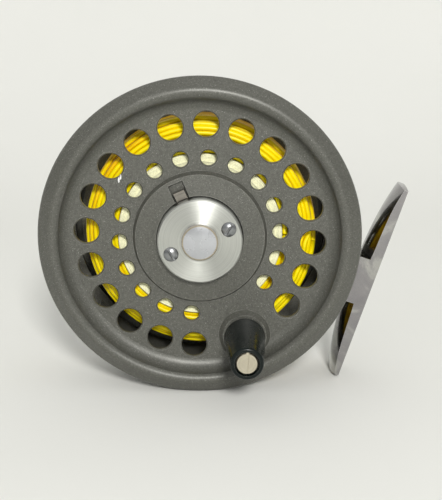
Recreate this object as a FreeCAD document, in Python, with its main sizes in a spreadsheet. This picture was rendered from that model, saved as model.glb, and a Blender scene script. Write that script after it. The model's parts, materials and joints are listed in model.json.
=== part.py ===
"""Single-action fly reel: perforated spool with an exposed rim, frame, click, latch, handle and foot.

Units are millimetres and degrees. The spindle runs along Y and the handle side faces -Y. Outlines are
drawn about the spindle axis with Y = 0 on the front of the spool's web, and each piece's Placement then
moves it so that the origin is the middle of the foot's seat. Angles turn from +X towards +Z.
"""
import FreeCAD, Part
import os
import re
import Sketcher

SIZES = {
    # Spool: web, rim and rear flange
    "rim_radius": 45.5, "rim_edge": -1.5, "rim_rear": 6.0, "rim_rear_radius": 44.5, "rim_wall": 1.4,
    "crest_height": 4.6, "crest_inner": 39.7, "crest_radius": 41.3, "crest_outer": 42.9,
    "crest_shoulder": 3.7, "web_edge": 36.3, "web_thickness": 1.8, "flange_radius": 35.2,
    "flange_front": 20.9, "flange_thickness": 1.4, "arbor_radius": 14.0, "flange_lip": 0.8,
    # Spool: centre boss, cap recess and latch slot
    "boss_radius": 19.0, "boss_top_radius": 18.2, "boss_edge_height": 1.6, "boss_height": 2.2,
    "recess_radius": 12.3, "recess_floor": -0.4, "slot_width": 4.4, "slot_reach": 17.2, "slot_floor": -0.4,
    # Spool: rings of holes, placed from the handle's direction
    "handle_angle": -66.3, "outer_ring": 32.0, "outer_hole": 3.6, "outer_start": 27.0, "outer_step": 18.0,
    "outer_count": 18, "inner_ring": 22.72, "inner_hole": 2.22, "inner_start": 30.0, "inner_step": 20.0,
    "inner_count": 16, "hole_chamfer": 0.35,
    "rear_ring": 27.5, "rear_hole": 4.0, "rear_step": 24.0, "rear_count": 15,
    # Spindle, bushing and ratchet gear
    "spindle_radius": 3.0, "neck_radius": 2.2, "spindle_front": -3.6, "neck_front": -1.9, "neck_back": -0.3,
    "running_gap": 0.05, "bushing_radius": 4.2, "shoulder_radius": 6.0, "shoulder_thickness": 1.0,
    "gear_thickness": 2.3, "gear_root": 8.35, "gear_tip": 9.5, "tooth_half": 0.95, "tooth_tip_half": 0.18,
    "tooth_step": 15.0, "tooth_count": 24, "gear_screw_ring": 6.3, "gear_screw": 0.8, "gear_screw_head": 1.4,
    "gear_screw_depth": 8.0, "gear_screw_count": 3,
    # Frame: back plate, front ring, pillars and foot bridge
    "frame_radius": 42.2, "ring_inner": 39.4, "plate_front": 26.0, "plate_thickness": 2.5, "plate_lip": 23.0,
    "lip_inner": 37.6, "plate_chamfer": 0.8, "plate_ring": 28.5, "plate_hole": 3.2, "plate_start": 126.0,
    "plate_step": 18.0, "plate_count": 17,
    "back_boss_radius": 10.5, "back_boss": 1.1, "ring_front": 2.6, "ring_back": 7.6,
    "pillar_ring": 40.7, "pillar_radius": 1.5, "tenon_radius": 0.9, "pillar_step": 72.0, "pillar_count": 3,
    "bridge_inner": 39.4, "bridge_outer": 42.4, "bridge_half": 9.0,
    "bar_inner": 39.6, "bar_outer": 41.9, "bar_middle": 246.0, "bar_spread": 26.0,
    "foot_screw_radius": 1.4, "foot_screw_head": 2.5, "foot_screw_length": 7.0, "foot_screw_gap": 7.0,
    # Nut and washer behind the plate
    "washer_radius": 5.4, "washer_thickness": 0.6, "nut_flats": 8.0, "nut_height": 2.2,
    # Foot
    "seat_angle": -18.55, "seat_distance": 53.2, "foot_middle": 15.5, "foot_half_length": 30.0,
    "foot_half_width": 6.5, "foot_block_half": 7.0, "root_edge": 3.35, "root_crown": 2.4,
    "middle_station": 17.0, "middle_edge": 2.8, "middle_crown": 2.1, "far_station": 24.0,
    "far_edge": 2.2, "far_crown": 1.5, "tip_edge": 0.95, "tip_crown": 1.1, "foot_corner": 0.7,
    # Cap, its screws, the badge
    "cap_radius": 11.9, "cap_wall": 1.3, "cap_edge": -5.5, "cap_middle": -6.0, "cap_ceiling": -4.4,
    "cap_slot_width": 3.8, "cap_slot_top": -2.0, "cap_bevel": 0.35, "cap_screw_ring": 8.8,
    "cap_screw_angle": 23.7, "cap_screw_radius": 0.85, "cap_screw_head": 2.1, "cap_screw_dome": 0.9,
    "cap_screw_end": 3.6, "cap_post_radius": 1.9, "driver_slot": 0.8, "driver_depth": 0.65,
    "right_slot": 57.0, "left_slot": -60.0, "handle_slot": 86.0,
    "badge_radius": 5.2, "badge_edge": -6.9, "badge_middle": -7.4, "badge_stem": 2.0,
    # Latch plate and its spring
    "latch_angle": 113.7, "latch_back": -0.5, "latch_thickness": 1.0, "latch_half": 4.0,
    "latch_tail": -8.0, "latch_shoulder": 6.5, "tab_width": 3.2, "tab_reach": 14.7, "tab_bend": 0.6,
    "tab_top": -2.6, "tab_pad": 12.2, "tab_pad_front": -2.0, "window_half": 3.2,
    "window_tail": -4.9, "window_edge": 2.3, "ear_front": -3.6, "ear_near": 4.0, "ear_far": 5.0,
    "ear_half": 1.5,
    "bow_angle": 38.0, "bow_radius": 10.25, "bow_middle": 6.75, "bow_thickness": 0.3,
    "bow_front": -3.8, "bow_back": -2.2,
    # Handle: boss, post, washer, knob and screw
    "handle_ring": 31.6, "handle_boss": 7.4, "handle_boss_top": 6.26, "handle_boss_height": 1.8,
    "post_radius": 2.0, "post_end": -23.6, "rivet_radius": 3.2, "rivet_height": 0.8,
    "post_thread": 1.1, "post_thread_end": -16.5, "handle_washer": 4.6, "handle_washer_height": 0.6,
    "knob_base_radius": 5.85, "knob_base": -2.7, "knob_tip_radius": 4.55, "knob_tip": -25.2,
    "knob_round": 0.7, "knob_gap": 0.1, "knob_counterbore": 3.45, "knob_counterbore_floor": -23.3,
    "knob_screw_head": 3.0, "knob_screw_front": -24.9, "knob_screw_end": -17.0,
    # Wound line
    "line_radius": 34.0, "line_shoulder": 31.0, "line_front": 2.6, "line_back": 20.2,
    "backing_radius": 23.4, "backing_front": 2.8, "backing_back": 19.0,
    # Click pawls and their pins
    "pawl_ring": 15.0, "pawl_angle": 67.5, "pawl_spread": 45.0, "pawl_front": 23.0, "pawl_back": 25.0,
    "pawl_bore": 1.45, "pawl_round": 2.6, "pawl_tip": 6.05, "pawl_tip_half": 0.12, "pawl_root_half": 1.9,
    "pin_radius": 1.4, "pin_head": 2.2, "pin_head_front": 22.65,
    # Drag spring, its screws, the drag knob and its cam
    "drag_angle": 90.0, "spring_radius": 18.6, "spring_half": 0.25, "spring_front": 23.2,
    "spring_back": 25.2, "spring_spread": 52.0, "eye_radius": 1.9, "spring_screw": 1.0,
    "spring_screw_head": 1.8, "spring_screw_front": 22.7, "spring_screw_end": 27.6,
    "drag_ring": 22.0, "drag_shaft": 1.8, "cam_radius": 2.4, "cam_offset": 0.6, "cam_back": 25.6,
    "cam_screw": 0.8, "cam_screw_head": 1.4, "cam_screw_end": 29.4, "drag_knob": 5.4,
    "drag_knob_front": 28.8, "drag_knob_back": 32.0, "knurl_depth": 0.35, "knurl_step": 15.0,
    "knurl_count": 24,
}

doc = FreeCAD.newDocument("FlyReel")
sheet = doc.addObject("Spreadsheet::Sheet", "Sheet")
for row, (alias, size) in enumerate(SIZES.items(), start=1):
    sheet.set(f"A{row}", alias)
    sheet.set(f"B{row}", str(size))
    sheet.setAlias(f"B{row}", alias)
doc.recompute()
calculator = doc.addObject("App::FeaturePython", "Calculator")
pieces = []


# Expressions and placements

def bound(expression):
    """The expression with each size's name turned into its cell of the sheet."""
    return re.sub(r"[a-z_]{4,}", lambda word: "Sheet." + word.group() if word.group() in SIZES
                  else word.group(), str(expression))


def value(expression):
    """The number that an expression stands for now."""
    return float(calculator.evalExpression(bound(expression)))


def at_angle(ring, angle):
    """X and Z of the place on a ring about the spindle, at an angle from +X towards +Z."""
    return f"({ring}) * cos({angle})", f"({ring}) * sin({angle})"


def seat_place():
    """X, Y and Z of the middle of the foot's seat, measured from the spindle axis at the web."""
    across, up = at_angle("seat_distance", "seat_angle")
    return across, "foot_middle", up


def place(piece, across="0", along="0", up="0", turn="0"):
    """Turn a piece about the spindle's direction, carry it to its place and shift the origin to the seat."""
    piece.Placement = FreeCAD.Placement(FreeCAD.Vector(), FreeCAD.Rotation(FreeCAD.Vector(0, -1, 0), 1.0))
    for axis, offset, seat in zip("xyz", (across, along, up), seat_place()):
        piece.setExpression(f"Placement.Base.{axis}", bound(f"{offset} - {seat}"))
    piece.setExpression("Placement.Rotation.Angle", bound(turn))


# Sketches

def origin_part(body, role):
    return next(item for item in body.Origin.OriginFeatures if item.Role == role)


def new_sketch(body, role, offset="0"):
    """A sketch on one of the body's own origin planes, or parallel to it."""
    sketch = body.newObject("Sketcher::SketchObject", body.Name + "_sketch")
    sketch.AttachmentSupport = [(origin_part(body, role), "")]
    sketch.MapMode = "FlatFace"
    sketch.AttachmentOffset = FreeCAD.Placement(FreeCAD.Vector(0, 0, value(offset)), FreeCAD.Rotation())
    if offset != "0":
        sketch.setExpression("AttachmentOffset.Base.z", bound(offset))
    return sketch


def pin_point(sketch, geometry, end, across, up):
    """Hold one point of a sketch at the place that two expressions give."""
    for kind, axis, expression in (("DistanceX", -2, across), ("DistanceY", -1, up)):
        if expression == "0":
            sketch.addConstraint(Sketcher.Constraint("PointOnObject", geometry, end, axis))
            continue
        constraint = Sketcher.Constraint(kind, -1, 1, geometry, end, value(expression))
        index = sketch.addConstraint(constraint)
        name = f"{kind}_{geometry}_{end}"
        sketch.renameConstraint(index, name)
        sketch.setExpression(f"Constraints.{name}", bound(expression))


def ends_of(sketch, geometry, start):
    """The two end numbers of an edge, the one at the given start first: an arc may run backwards."""
    first = sketch.getPoint(geometry, 1)
    return (1, 2) if (first - start).Length < 1e-6 else (2, 1)


def draw_outline(sketch, corners):
    """A closed outline. A corner is (across, up); (across, up, "bend") is a point an arc passes through."""
    spots = [FreeCAD.Vector(value(corner[0]), value(corner[1]), 0) for corner in corners]
    edges = []
    index = 0
    while index < len(corners):
        bend = len(corners[(index + 1) % len(corners)]) == 3
        finish = (index + 2 if bend else index + 1) % len(corners)
        if bend:
            arc = Part.Arc(spots[index], spots[index + 1], spots[finish])
            edge = sketch.addGeometry(arc, False)
            middle = sketch.addGeometry(Part.Point(spots[index + 1]), True)
            sketch.addConstraint(Sketcher.Constraint("PointOnObject", middle, 1, edge))
            pin_point(sketch, middle, 1, corners[index + 1][0], corners[index + 1][1])
        else:
            edge = sketch.addGeometry(Part.LineSegment(spots[index], spots[finish]), False)
        edges.append((edge, ends_of(sketch, edge, spots[index]), corners[index]))
        index += 2 if bend else 1
    for (edge, ends, corner), (following, after, _) in zip(edges, edges[1:] + edges[:1]):
        sketch.addConstraint(Sketcher.Constraint("Coincident", edge, ends[1], following, after[0]))
        pin_point(sketch, edge, ends[0], corner[0], corner[1])


def draw_circle(sketch, across, up, radius):
    circle = Part.Circle(FreeCAD.Vector(value(across), value(up), 0), FreeCAD.Vector(0, 0, 1), value(radius))
    edge = sketch.addGeometry(circle, False)
    pin_point(sketch, edge, 3, across, up)
    index = sketch.addConstraint(Sketcher.Constraint("Radius", edge, value(radius)))
    sketch.renameConstraint(index, f"Radius_{edge}")
    sketch.setExpression(f"Constraints.Radius_{edge}", bound(radius))


def turned_corner(along, side, angle, across="0", up="0"):
    """A corner given along and square to a direction, from the place (across, up)."""
    return (f"{across} + ({along}) * cos({angle}) - ({side}) * sin({angle})",
            f"{up} + ({along}) * sin({angle}) + ({side}) * cos({angle})")


def draw_turned_box(sketch, near, far, half, angle, across="0", up="0"):
    """A rectangle from near to far along a direction, and half wide to each side of it."""
    corners = [(near, f"-({half})"), (far, f"-({half})"), (far, half), (near, half)]
    draw_outline(sketch, [turned_corner(along, side, angle, across, up) for along, side in corners])


# Features

def new_piece(name):
    """A body whose label is its node's name."""
    body = doc.addObject("PartDesign::Body", name)
    body.Label = name
    pieces.append(body)
    return body


def volume(body):
    doc.recompute()
    return body.Shape.Volume if body.Tip else 0.0


def turned(body, corners, across="0", up="0", cut=False):
    """Turn an outline of (radius, Y) corners about the line through (across, up) along Y."""
    before = volume(body)
    sketch = new_sketch(body, "XY_Plane", up)
    column = Part.LineSegment(FreeCAD.Vector(value(across), 0, 0), FreeCAD.Vector(value(across), 1, 0))
    axis = sketch.addGeometry(column, True)
    pin_point(sketch, axis, 1, across, "0")
    pin_point(sketch, axis, 2, across, "1")
    draw_outline(sketch, [(f"{across} + {corner[0]}",) + tuple(corner[1:]) for corner in corners])
    feature = body.newObject("PartDesign::Groove" if cut else "PartDesign::Revolution", body.Name + "_turn")
    feature.Profile = sketch
    feature.ReferenceAxis = (sketch, ["Axis0"])
    feature.Angle = 360
    changed(body, before, cut)
    return feature


def raised(body, draw, back, height, cut=False):
    """Raise what draw puts in a sketch from Y = back towards the front, or cut it away."""
    before = volume(body)
    sketch = new_sketch(body, "XZ_Plane", f"-({back})")
    draw(sketch)
    feature = body.newObject("PartDesign::Pocket" if cut else "PartDesign::Pad", body.Name + "_pad")
    feature.Profile = sketch
    feature.Reversed = cut
    feature.Length = value(height)
    feature.setExpression("Length", bound(height))
    changed(body, before, cut)
    return feature


def changed(body, before, cut):
    """Stop if a feature added or removed nothing."""
    after = volume(body)
    if (after >= before) if cut else (after <= before):
        raise RuntimeError(f"{body.Name}: the last feature did nothing")


def patterned(body, features, step, count):
    """Repeat features about the spindle axis, turning from +X towards +Z."""
    before = volume(body)
    pattern = body.newObject("PartDesign::PolarPattern", body.Name + "_pattern")
    pattern.Originals = features
    pattern.Axis = (origin_part(body, "Y_Axis"), [""])
    pattern.Reversed = True
    pattern.setExpression("Occurrences", bound(count))
    full = abs(value(step) * value(count) - 360) < 1e-6
    pattern.Angle = 360 if full else value(step) * (value(count) - 1)
    if not full:
        pattern.setExpression("Angle", bound(f"{step} * ({count} - 1)"))
    body.Tip = pattern
    if volume(body) == before:
        raise RuntimeError(f"{body.Name}: the pattern did nothing")
    return pattern


def drilled(body, across, up, radius, front, back, chamfer="0"):
    """A round hole along Y from Y = front to Y = back, with an optional chamfer at both mouths."""
    if chamfer == "0":
        corners = [("0", front), (radius, front), (radius, back), ("0", back)]
    else:
        corners = [("0", front), (f"{radius} + {chamfer}", front), (radius, f"{front} + {chamfer}"),
                   (radius, f"{back} - {chamfer}"), (f"{radius} + {chamfer}", back), ("0", back)]
    return turned(body, corners, across, up, cut=True)


def hole_ring(body, ring, angle, radius, front, back, step, count, chamfer="0"):
    across, up = at_angle(ring, angle)
    hole = drilled(body, across, up, radius, front, back, chamfer)
    return patterned(body, [hole], step, count)


def driver_cut(body, head_front, reach, turn, across="0", up="0"):
    """A screwdriver slot across a head, turned about the screw's own axis."""
    return raised(body, lambda sketch: draw_turned_box(
        sketch, f"-({reach})", reach, "driver_slot / 2", turn, across, up),
        f"{head_front} + driver_depth", "driver_depth + 1", cut=True)


# Spool and what turns with it

def make_spool():
    """Web with its rolled rim and overlapping skirt, arbor, rear flange and centre boss, in one casting."""
    body = new_piece("spool")
    flange_back = "flange_front + flange_thickness"
    turned(body, [
        ("bushing_radius", "recess_floor"), ("recess_radius", "recess_floor"),
        ("recess_radius", "-boss_height"), ("boss_top_radius", "-boss_edge_height"),
        ("boss_radius", "0"), ("web_edge", "0"), ("web_edge + 2.2", "-1.1", "bend"),
        ("crest_inner", "-crest_shoulder"), ("crest_radius", "-crest_height", "bend"),
        ("crest_outer", "-crest_shoulder - 0.3"), ("rim_radius - 0.35", "rim_edge - 0.75"),
        ("rim_radius", "rim_edge", "bend"), ("rim_radius - 0.1", "rim_edge + 0.9"),
        ("rim_rear_radius", "rim_rear"), ("rim_rear_radius - rim_wall", "rim_rear"),
        ("rim_rear_radius - rim_wall", "web_thickness"), ("arbor_radius", "web_thickness"),
        ("arbor_radius", "flange_front"), ("flange_radius", "flange_front"),
        ("flange_radius", flange_back), ("bushing_radius", flange_back)])
    hole_ring(body, "outer_ring", "handle_angle + outer_start", "outer_hole", "0", "web_thickness",
              "outer_step", "outer_count", "hole_chamfer")
    hole_ring(body, "inner_ring", "handle_angle + inner_start", "inner_hole", "0", "web_thickness",
              "inner_step", "inner_count", "hole_chamfer")
    hole_ring(body, "rear_ring", "rear_step / 2", "rear_hole", "flange_front", flange_back,
              "rear_step", "rear_count")
    across, up = at_angle("handle_ring", "handle_angle")
    turned(body, [("0", "web_thickness"), ("0", "-handle_boss_height"),
                  ("handle_boss_top", "-handle_boss_height"), ("handle_boss", "0"),
                  ("handle_boss", "web_thickness")], across, up)
    drilled(body, across, up, "post_radius", "-handle_boss_height", "web_thickness")
    raised(body, lambda sketch: draw_turned_box(
        sketch, "recess_radius - 1", "slot_reach", "slot_width / 2", "latch_angle"),
        "slot_floor", "slot_floor + boss_height + 1", cut=True)
    for side in ("0", "180"):
        across, up = at_angle("cap_screw_ring", f"cap_screw_angle + {side}")
        drilled(body, across, up, "cap_screw_radius", "recess_floor", "cap_screw_end")
    gear_screw_holes(body, "flange_front + flange_thickness - gear_screw_depth + gear_thickness", flange_back)
    return body


def gear_screw_holes(body, front, back):
    across, up = at_angle("gear_screw_ring", "0")
    hole = drilled(body, across, up, "gear_screw", front, back)
    patterned(body, [hole], "360 / gear_screw_count", "gear_screw_count")


def make_spool_bushing():
    body = new_piece("spool_bushing")
    bore = "spindle_radius + running_gap"
    back = "flange_front + flange_thickness"
    turned(body, [(bore, "recess_floor"), ("bushing_radius", "recess_floor"),
                  ("bushing_radius", back), (bore, back)])


def make_ratchet_gear():
    """Twenty-four pointed teeth, a clear bore and three countersunk screw holes."""
    body = new_piece("ratchet_gear")
    front = "flange_front + flange_thickness"
    back = f"{front} + gear_thickness"
    turned(body, [("bushing_radius", front), ("gear_root", front),
                  ("gear_root", back), ("bushing_radius", back)])
    tooth = raised(body, lambda sketch: draw_outline(sketch, [
        ("gear_root - 0.3", "-tooth_half"), ("gear_tip", "-tooth_tip_half"),
        ("gear_tip", "tooth_tip_half"), ("gear_root - 0.3", "tooth_half")]), back, "gear_thickness")
    patterned(body, [tooth], "tooth_step", "tooth_count")
    across, up = at_angle("gear_screw_ring", "0")
    hole = turned(body, [("0", front), ("gear_screw", front),
                         ("gear_screw", f"{back} - gear_screw_head + gear_screw"),
                         ("gear_screw_head", back), ("0", back)], across, up, cut=True)
    patterned(body, [hole], "360 / gear_screw_count", "gear_screw_count")


def make_gear_screws():
    """Three countersunk screws that hold the gear to the spool, as one node of separate solids."""
    body = new_piece("gear_screws")
    back = "flange_front + flange_thickness + gear_thickness"
    end = "flange_front + flange_thickness - gear_screw_depth + gear_thickness"
    across, up = at_angle("gear_screw_ring", "0")
    screw = turned(body, [("0", end), ("gear_screw", end),
                          ("gear_screw", f"{back} - gear_screw_head + gear_screw"),
                          ("gear_screw_head", back), ("0", back)], across, up)
    patterned(body, [screw], "360 / gear_screw_count", "gear_screw_count")


def make_fly_line():
    """The envelope of the wound line: crowned outside, wound on the backing."""
    body = new_piece("fly_line")
    turned(body, [("backing_radius", "line_front"), ("line_shoulder", "line_front"),
                  ("line_radius", "(line_front + line_back) / 2", "bend"), ("line_shoulder", "line_back"),
                  ("backing_radius", "line_back")])


def make_backing():
    body = new_piece("backing")
    turned(body, [("arbor_radius", "backing_front"), ("backing_radius", "backing_front"),
                  ("backing_radius", "backing_back"), ("arbor_radius", "backing_back")])


def make_cap():
    """Cup over the latch: slightly domed top, wall with the tab's slot, and two posts for its screws."""
    body = new_piece("cap")
    turned(body, [("badge_stem", "cap_ceiling"), ("badge_stem", "cap_middle"),
                  ("cap_radius * 0.6", "cap_middle * 0.6 + cap_edge * 0.4", "bend"),
                  ("cap_radius - cap_bevel", "cap_edge"), ("cap_radius", "cap_edge + cap_bevel"),
                  ("cap_radius", "recess_floor"), ("cap_radius - cap_wall", "recess_floor"),
                  ("cap_radius - cap_wall", "cap_ceiling")])
    for side in ("0", "180"):
        across, up = at_angle("cap_screw_ring", f"cap_screw_angle + {side}")
        turned(body, [("0", "cap_ceiling - 0.5"), ("cap_post_radius", "cap_ceiling - 0.5"),
                      ("cap_post_radius", "recess_floor"), ("0", "recess_floor")], across, up)
        drilled(body, across, up, "cap_screw_radius", "cap_middle - 1", "recess_floor")
        turned(body, [("0", "cap_middle - 1"), ("cap_screw_head", "cap_middle - 1"),
                      ("cap_screw_head", "cap_edge"), ("0", "cap_edge")], across, up, cut=True)
    raised(body, lambda sketch: draw_turned_box(
        sketch, "cap_radius - 2 * cap_wall", "cap_radius + 1", "cap_slot_width / 2", "latch_angle"),
        "recess_floor", "recess_floor - cap_slot_top", cut=True)


def make_cap_screws():
    """Two round-headed slotted screws; their slots lean opposite ways."""
    body = new_piece("cap_screws")
    for side, slot in (("0", "right_slot"), ("180", "left_slot")):
        across, up = at_angle("cap_screw_ring", f"cap_screw_angle + {side}")
        turned(body, [("0", "cap_edge - cap_screw_dome"),
                      ("cap_screw_head * 0.6", "cap_edge - cap_screw_dome * 0.8", "bend"),
                      ("cap_screw_head", "cap_edge - cap_screw_dome * 0.15"), ("cap_screw_head", "cap_edge"),
                      ("cap_screw_radius", "cap_edge"), ("cap_screw_radius", "cap_screw_end"),
                      ("0", "cap_screw_end")], across, up)
        driver_cut(body, "cap_edge - cap_screw_dome", "cap_screw_head + 0.5", slot, across, up)


def make_badge():
    """Domed button with a plain face and a stem pressed into the cap."""
    body = new_piece("badge")
    turned(body, [("0", "badge_middle"),
                  ("badge_radius * 0.55", "badge_middle * 0.7 + badge_edge * 0.3", "bend"),
                  ("badge_radius - 0.3", "badge_edge"), ("badge_radius", "badge_edge + 0.3"),
                  ("badge_radius", "cap_middle"), ("badge_stem", "cap_middle"),
                  ("badge_stem", "cap_ceiling"), ("0", "cap_ceiling")])


def make_handle_post():
    """Riveted behind the web, tapped in front for the handle's screw."""
    body = new_piece("handle_post")
    turned(body, [("post_thread", "post_end"), ("post_radius", "post_end"), ("post_radius", "web_thickness"),
                  ("rivet_radius", "web_thickness"),
                  ("rivet_radius - 0.4", "web_thickness + rivet_height"),
                  ("0", "web_thickness + rivet_height"), ("0", "post_thread_end"),
                  ("post_thread", "post_thread_end")])
    place_at_handle(body)


def place_at_handle(body):
    across, up = at_angle("handle_ring", "handle_angle")
    place(body, across, "0", up)


def make_handle_washer():
    body = new_piece("handle_washer")
    front = "-handle_boss_height - handle_washer_height"
    turned(body, [("post_radius", front), ("handle_washer", front),
                  ("handle_washer", "-handle_boss_height"), ("post_radius", "-handle_boss_height")])
    place_at_handle(body)


def make_handle_knob():
    """Tapered knob that turns on the post, counterbored at its tip for the screw's head."""
    body = new_piece("handle_knob")
    bore = "post_radius + knob_gap"
    tip_corner = "knob_tip_radius - knob_round"
    turned(body, [(bore, "knob_base"), ("knob_base_radius - knob_round", "knob_base"),
                  ("knob_base_radius - knob_round * 0.29", "knob_base - knob_round * 0.29", "bend"),
                  ("knob_base_radius", "knob_base - knob_round"),
                  ("knob_tip_radius", "knob_tip + knob_round"),
                  ("knob_tip_radius - knob_round * 0.29", "knob_tip + knob_round * 0.29", "bend"),
                  (tip_corner, "knob_tip"), ("knob_counterbore", "knob_tip"),
                  ("knob_counterbore", "knob_counterbore_floor"), (bore, "knob_counterbore_floor")])
    place_at_handle(body)


def make_handle_screw():
    """Slotted screw in the post's end; its wide head keeps the knob on."""
    body = new_piece("handle_screw")
    turned(body, [("0", "knob_screw_front"), ("knob_screw_head - 0.25", "knob_screw_front"),
                  ("knob_screw_head", "knob_screw_front + 0.25"), ("knob_screw_head", "post_end"),
                  ("post_thread", "post_end"), ("post_thread", "knob_screw_end"), ("0", "knob_screw_end")])
    driver_cut(body, "knob_screw_front", "knob_screw_head + 0.5", "handle_slot")
    place_at_handle(body)


def make_latch_plate():
    """Sliding plate: its window's edge sits in the spindle's neck, and its bent tab is pushed outwards."""
    body = new_piece("latch_plate")
    front = "latch_back - latch_thickness"
    half_tab = "tab_width / 2"
    raised(body, lambda sketch: draw_outline(sketch, [
        ("latch_tail", "-latch_half"), ("latch_shoulder", "-latch_half"), ("latch_shoulder", f"-{half_tab}"),
        ("tab_reach", f"-{half_tab}"), ("tab_reach", half_tab), ("latch_shoulder", half_tab),
        ("latch_shoulder", "latch_half"), ("latch_tail", "latch_half")]), "latch_back", "latch_thickness")
    raised(body, lambda sketch: draw_turned_box(sketch, "window_tail", "window_edge", "window_half", "0"),
           "latch_back + 1", "latch_thickness + 2", cut=True)
    raised(body, lambda sketch: draw_turned_box(sketch, "ear_near", "ear_far", "ear_half", "0"),
           front, f"{front} - ear_front")
    raised(body, lambda sketch: draw_turned_box(sketch, "tab_pad", "tab_reach", half_tab, "0"),
           front, f"{front} - tab_pad_front")
    raised(body, lambda sketch: draw_turned_box(sketch, "tab_reach - tab_bend", "tab_reach", half_tab, "0"),
           front, f"{front} - tab_top")
    place(body, turn="latch_angle")


def make_latch_spring():
    """Bowed leaf: its ends rest on the cap's wall and its middle stands behind the latch's ear."""
    body = new_piece("latch_spring")
    end = "bow_radius * cos(bow_angle)"
    side = "bow_radius * sin(bow_angle)"
    outline = [(end, f"-{side}"), ("bow_middle", "0", "bend"), (end, side),
               (f"{end} + bow_thickness", side), ("bow_middle + bow_thickness", "0", "bend"),
               (f"{end} + bow_thickness", f"-{side}")]
    raised(body, lambda sketch: draw_outline(sketch, [
        turned_corner(corner[0], corner[1], "latch_angle") + corner[2:] for corner in outline]),
        "bow_back", "bow_back - bow_front")


# Frame and what is fixed to it

def tenon_holes(body, front, back):
    across, up = at_angle("pillar_ring", "seat_angle + pillar_step")
    hole = drilled(body, across, up, "tenon_radius", front, back)
    patterned(body, [hole], "pillar_step", "pillar_count")


def make_front_ring():
    """The frame's front ring, inside the spool's skirt."""
    body = new_piece("front_ring")
    turned(body, [("ring_inner", "ring_front"), ("frame_radius - 0.3", "ring_front"),
                  ("frame_radius", "ring_front + 0.3"), ("frame_radius", "ring_back"),
                  ("ring_inner", "ring_back")])
    tenon_holes(body, "ring_front", "ring_back")


def make_back_plate():
    """Dished plate with a ring of holes, a boss for the nut and the seats of the click's parts."""
    body = new_piece("back_plate")
    back = "plate_front + plate_thickness"
    turned(body, [("spindle_radius", "plate_front"), ("lip_inner", "plate_front"), ("lip_inner", "plate_lip"),
                  ("frame_radius", "plate_lip"), ("frame_radius", f"{back} - plate_chamfer"),
                  ("frame_radius - plate_chamfer", back), ("back_boss_radius + back_boss * 0.6", back),
                  ("back_boss_radius", f"{back} + back_boss"), ("spindle_radius", f"{back} + back_boss")])
    for angle in ("drag_angle - spring_spread", "drag_angle + spring_spread"):
        across, up = at_angle("spring_radius", angle)
        turned(body, [("0", "spring_back"), ("spring_screw_head", "spring_back"),
                      ("spring_screw_head", "plate_front"), ("0", "plate_front")], across, up)
        drilled(body, across, up, "spring_screw", "spring_back", "spring_screw_end")
    for angle in ("pawl_angle", "pawl_angle + pawl_spread"):
        across, up = at_angle("pawl_ring", angle)
        drilled(body, across, up, "pin_radius", "plate_front", back)
    across, up = at_angle("drag_ring", "drag_angle")
    drilled(body, across, up, "drag_shaft + running_gap", "plate_front", back)
    tenon_holes(body, "plate_lip", back)
    hole_ring(body, "plate_ring", "plate_start", "plate_hole", "plate_front", back, "plate_step",
              "plate_count", "hole_chamfer")


def make_pillars():
    """Three round pillars with tenons riveted into the ring and the plate, as one node of solids."""
    body = new_piece("pillars")
    across, up = at_angle("pillar_ring", "seat_angle + pillar_step")
    pillar = turned(body, [("0", "ring_front"), ("tenon_radius", "ring_front"), ("tenon_radius", "ring_back"),
                           ("pillar_radius", "ring_back"), ("pillar_radius", "plate_lip"),
                           ("tenon_radius", "plate_lip"), ("tenon_radius", "plate_front + plate_thickness"),
                           ("0", "plate_front + plate_thickness")], across, up)
    patterned(body, [pillar], "pillar_step", "pillar_count")


def lathed_across(body, corners, along, cut=False):
    """Turn an outline of (X, radius) corners about the line at Y = along that points to the seat."""
    before = volume(body)
    sketch = new_sketch(body, "XY_Plane")
    column = Part.LineSegment(FreeCAD.Vector(0, value(along), 0), FreeCAD.Vector(1, value(along), 0))
    axis = sketch.addGeometry(column, True)
    pin_point(sketch, axis, 1, "0", along)
    pin_point(sketch, axis, 2, "1", along)
    draw_outline(sketch, [(corner[0], f"{along} + {corner[1]}") for corner in corners])
    feature = body.newObject("PartDesign::Groove" if cut else "PartDesign::Revolution", body.Name + "_turn")
    feature.Profile = sketch
    feature.ReferenceAxis = (sketch, ["Axis0"])
    feature.Angle = 360
    changed(body, before, cut)


def foot_screw_outline():
    """Countersunk head level with the bridge's inner face, shank into the foot."""
    neck = "bridge_inner + foot_screw_head - foot_screw_radius"
    end = "bridge_inner + foot_screw_length"
    return [("bridge_inner", "0"), ("bridge_inner", "foot_screw_head"), (neck, "foot_screw_radius"),
            (end, "foot_screw_radius"), (end, "0")]


def foot_screw_places():
    return ("foot_middle - foot_screw_gap / 2", "foot_middle + foot_screw_gap / 2")


def make_foot_bridge():
    """Block between ring and plate with a flat for the foot."""
    body = new_piece("foot_bridge")
    raised(body, lambda sketch: draw_turned_box(sketch, "bridge_inner", "bridge_outer", "bridge_half", "0"),
           "plate_lip", "plate_lip - ring_back")
    for along in foot_screw_places():
        lathed_across(body, foot_screw_outline(), along, cut=True)
    place(body, turn="seat_angle")


def make_foot_screws():
    body = new_piece("foot_screws")
    for along in foot_screw_places():
        lathed_across(body, foot_screw_outline(), along)
    place(body, turn="seat_angle")


def make_lower_bar():
    """Curved cast bar between ring and plate, under the spool."""
    body = new_piece("lower_bar")
    start = "bar_middle - bar_spread"
    finish = "bar_middle + bar_spread"
    raised(body, lambda sketch: draw_outline(sketch, [
        at_angle("bar_outer", start), at_angle("bar_outer", "bar_middle") + ("bend",),
        at_angle("bar_outer", finish), at_angle("bar_inner", finish),
        at_angle("bar_inner", "bar_middle") + ("bend",), at_angle("bar_inner", start)]),
        "plate_lip", "plate_lip - ring_back")


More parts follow.
